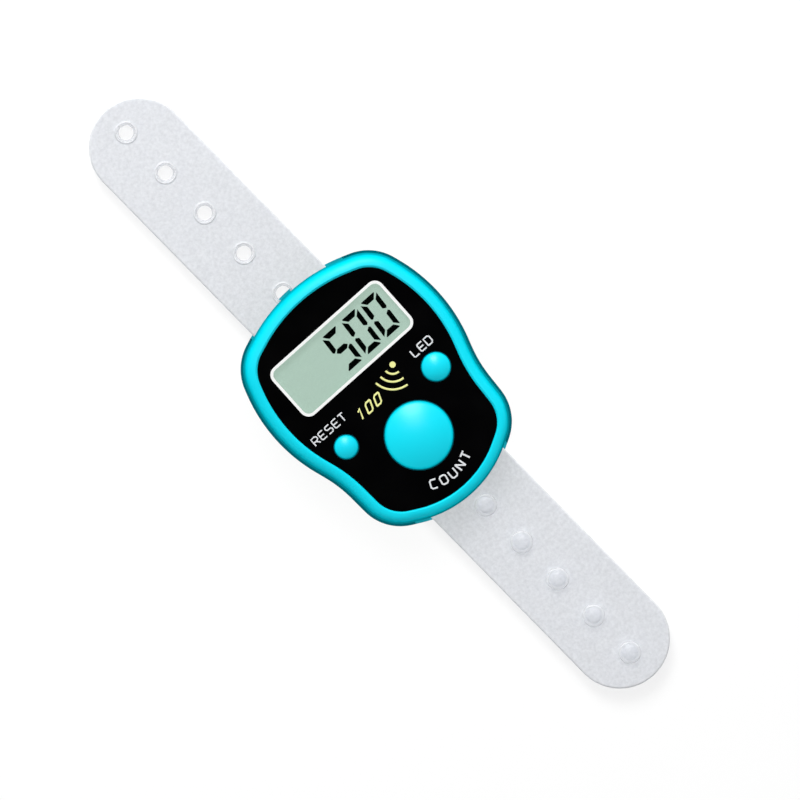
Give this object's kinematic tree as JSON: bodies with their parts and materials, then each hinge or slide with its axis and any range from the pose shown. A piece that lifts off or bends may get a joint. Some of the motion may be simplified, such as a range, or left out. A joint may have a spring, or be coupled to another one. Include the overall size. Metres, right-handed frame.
{
  "type": "digital tally counter",
  "caption": "Finger-worn digital tally counter: bright two-part case with black face, number display, domed push buttons and a soft strap with holes and studs threaded under it.",
  "frame": {"origin": "on the flat back of the case, under the middle of the case and of the strap", "axes": "+Z out of the face, +Y towards the display end and the strap's half with holes, +X towards the wearer's right"},
  "size_m": [0.0304, 0.1098, 0.0139],
  "materials": {
    "case_plastic": "moulded ABS, smooth satin gloss",
    "button_plastic": "moulded ABS, polished",
    "face_plastic": "black printed face, smooth",
    "window_plastic": "clear acrylic lens",
    "display_glass": "display glass with polarising film",
    "clear_acrylic": "clear acrylic with a white back",
    "contact_rubber": "layered conductive rubber",
    "circuit_laminate": "green glass-epoxy board",
    "chip_epoxy": "black epoxy drop",
    "part_black": "black moulded epoxy",
    "part_ceramic": "tan ceramic",
    "lamp_white": "white moulded plastic",
    "cell_steel": "nickel-plated steel cans",
    "spring_steel": "plated spring sheet",
    "screw_steel": "zinc-plated steel",
    "buzzer_brass": "plain brass disc",
    "buzzer_ceramic": "white ceramic",
    "strap_rubber": "frosted translucent soft rubber"
  },
  "bodies": {
    "case": {"back_shell": "case_plastic", "backlight_lamp": "lamp_white", "battery_cells": "cell_steel", "battery_cover": "case_plastic", "battery_cover_screw": "screw_steel", "battery_link_contact": "spring_steel", "battery_negative_contact": "spring_steel", "battery_positive_contact": "spring_steel", "board_capacitors": "part_ceramic", "board_resistors": "part_black", "board_screws": "screw_steel", "board_transistor": "part_black", "case_screws": "screw_steel", "chip_drop": "chip_epoxy", "circuit_board": "circuit_laminate", "count_switch_dome": "spring_steel", "count_switch_housing": "part_black", "display_front_glass": "display_glass", "display_rear_glass": "display_glass", "display_window": "window_plastic", "face_panel": "face_plastic", "front_shell": "case_plastic", "led_switch_dome": "spring_steel", "led_switch_housing": "part_black", "light_guide": "clear_acrylic", "piezo_centre_contact": "spring_steel", "piezo_ceramic": "buzzer_ceramic", "piezo_disc": "buzzer_brass", "piezo_rim_contact": "spring_steel", "reset_switch_dome": "spring_steel", "reset_switch_housing": "part_black", "zebra_strip": "contact_rubber"},
    "count_key": {"count_button": "button_plastic", "count_switch_plunger": "lamp_white"},
    "led_key": {"led_button": "button_plastic", "led_switch_plunger": "lamp_white"},
    "reset_key": {"reset_button": "button_plastic", "reset_switch_plunger": "lamp_white"},
    "strap": {"strap": "strap_rubber"}
  },
  "joints": [
    {"name": "count_press", "type": "slide", "parent": "case", "child": "count_key", "axis": [0, 0, -1], "range_m": [0, 0.0003], "stiffness_N_per_m": 700, "springref_m": -0.001, "deforming": ["count_switch_dome"]},
    {"name": "led_press", "type": "slide", "parent": "case", "child": "led_key", "axis": [0, 0, -1], "range_m": [0, 0.0003], "stiffness_N_per_m": 700, "springref_m": -0.001, "deforming": ["led_switch_dome"]},
    {"name": "reset_press", "type": "slide", "parent": "case", "child": "reset_key", "axis": [0, 0, -1], "range_m": [0, 0.0003], "stiffness_N_per_m": 700, "springref_m": -0.001, "deforming": ["reset_switch_dome"]},
    {"name": "strap_slide", "type": "slide", "parent": "case", "child": "strap", "axis": [-0.0471, 0.9989, 0], "range_m": [-0.07, 0.0008]}
  ]
}
